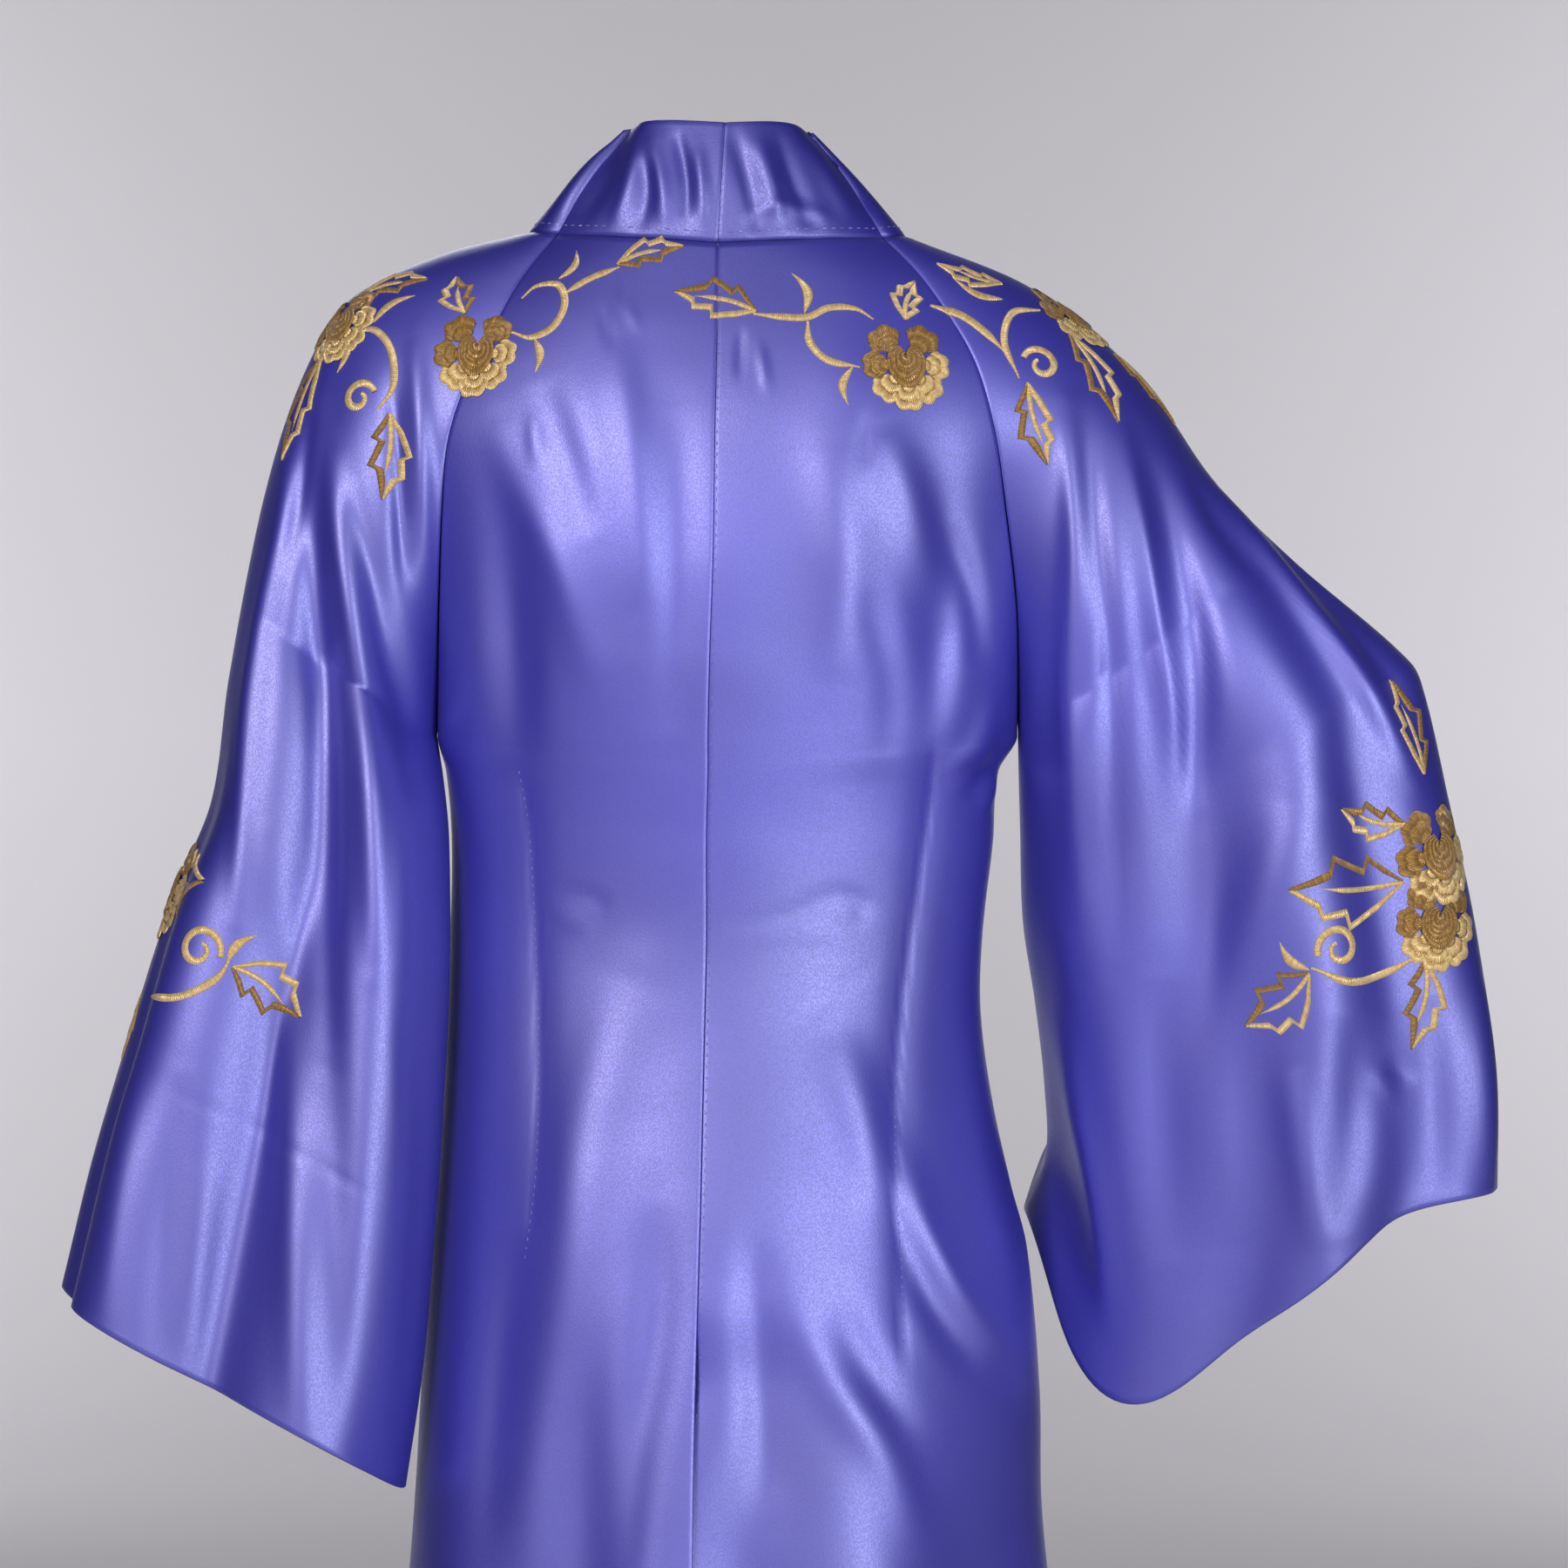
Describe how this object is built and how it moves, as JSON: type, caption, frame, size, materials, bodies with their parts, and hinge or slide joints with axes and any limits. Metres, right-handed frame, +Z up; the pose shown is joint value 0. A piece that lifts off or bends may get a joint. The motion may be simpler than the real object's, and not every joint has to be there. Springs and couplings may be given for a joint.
{
  "type": "full-length satin hanfu robe, as worn",
  "caption": "Hollow full-length raglan-sleeved hanfu robe in its worn pose, open at the front, with a wide standing collar band and wide hanging sleeves.",
  "frame": {"origin": "middle of the neck opening, level with the shoulders beside the neck, where the wearer carries the robe", "axes": "+Z up; the robe's front faces -Y and its back +Y; +X is the wearer's left"},
  "size_m": [0.827, 0.3422, 1.4354],
  "materials": {
    "satin": "blue-violet heavy satin",
    "collar_satin": "blue-violet heavy satin, doubled",
    "gold_thread": "gold embroidery thread, satin stitch"
  },
  "bodies": {
    "root": {"back_left": "satin", "back_right": "satin", "front_left": "satin", "front_right": "satin", "sleeve_left": "satin", "sleeve_right": "satin", "collar_left": "collar_satin", "collar_right": "collar_satin"}
  },
  "joints": []
}
